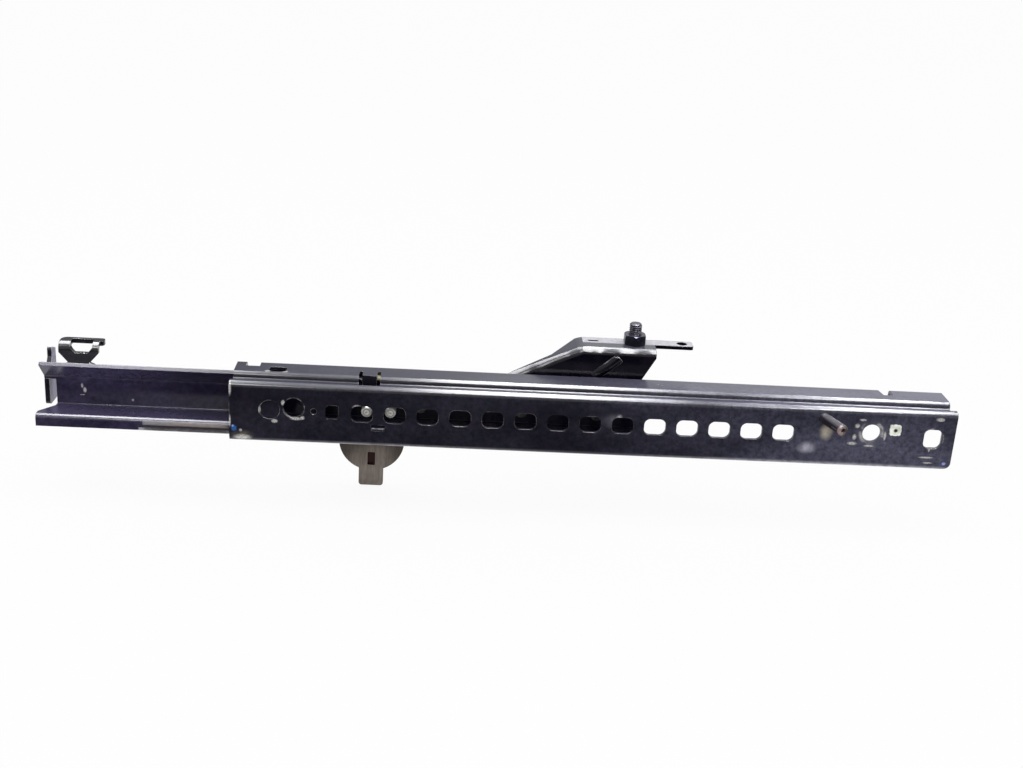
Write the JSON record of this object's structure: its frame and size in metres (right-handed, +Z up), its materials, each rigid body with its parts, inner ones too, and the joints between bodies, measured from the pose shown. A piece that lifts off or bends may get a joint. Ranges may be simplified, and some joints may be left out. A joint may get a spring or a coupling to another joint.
{
  "type": "seat slide rail",
  "caption": "Ball-guided seat slide rail: a slotted outer rail, a sliding inner rail with hook and stud brackets, and a sprung pin lock with a release plate.",
  "frame": {"origin": "middle of the front bolt hole, on the face of the outer rail's front wall", "axes": "+X along the rail from the hook end to the stud end, +Y from the front wall to the back, +Z up"},
  "size_m": [0.5662, 0.0728, 0.1186],
  "materials": {
    "coat": "glossy black dip coat",
    "steel": "bare steel with vertical rubbing marks",
    "zinc": "dull zinc plate",
    "ball_steel": "ground balls",
    "nylon": "natural nylon"
  },
  "bodies": {
    "outer": {"outer_rail": "coat", "stop_pin": "coat", "wall_clip": "nylon"},
    "inner": {"inner_rail": "coat", "hook_bracket": "coat", "end_plate": "coat", "seat_bracket": "coat", "seat_stud": "zinc", "seat_nut": "zinc", "seat_rivets": "zinc", "guide_bushes": "steel", "lock_bracket": "coat", "lock_rivets": "zinc", "lock_pivot": "zinc", "lock_spring": "steel"},
    "release": {"lock_plate": "steel"},
    "bolt": {"lock_pins": "steel", "lock_yoke": "steel"},
    "upper_row": {"upper_cage": "nylon", "upper_balls": "ball_steel"},
    "lower_row": {"lower_cage": "nylon", "lower_balls": "ball_steel"}
  },
  "joints": [
    {"name": "rail_slide", "type": "slide", "parent": "outer", "child": "inner", "axis": [1, 0, 0], "range_m": [0, 0.24]},
    {"name": "release_swing", "type": "hinge", "parent": "inner", "child": "release", "pos_m": [0.04565, 0.0365, -0.0203], "axis": [1, 0, 0], "range_deg": [0, 12.3]},
    {"name": "pin_stroke", "type": "slide", "parent": "inner", "child": "bolt", "axis": [0, -1, 0], "range_m": [0, 0.004]},
    {"name": "upper_row_slide", "type": "slide", "parent": "outer", "child": "upper_row", "axis": [1, 0, 0], "range_m": [0, 0.12]},
    {"name": "lower_row_slide", "type": "slide", "parent": "outer", "child": "lower_row", "axis": [1, 0, 0], "range_m": [0, 0.12]}
  ],
  "couplings": [
    {"joint": "pin_stroke", "follows": "release_swing", "m_per_rad": 0.0185},
    {"joint": "upper_row_slide", "follows": "rail_slide", "ratio": 0.5},
    {"joint": "lower_row_slide", "follows": "rail_slide", "ratio": 0.5}
  ]
}
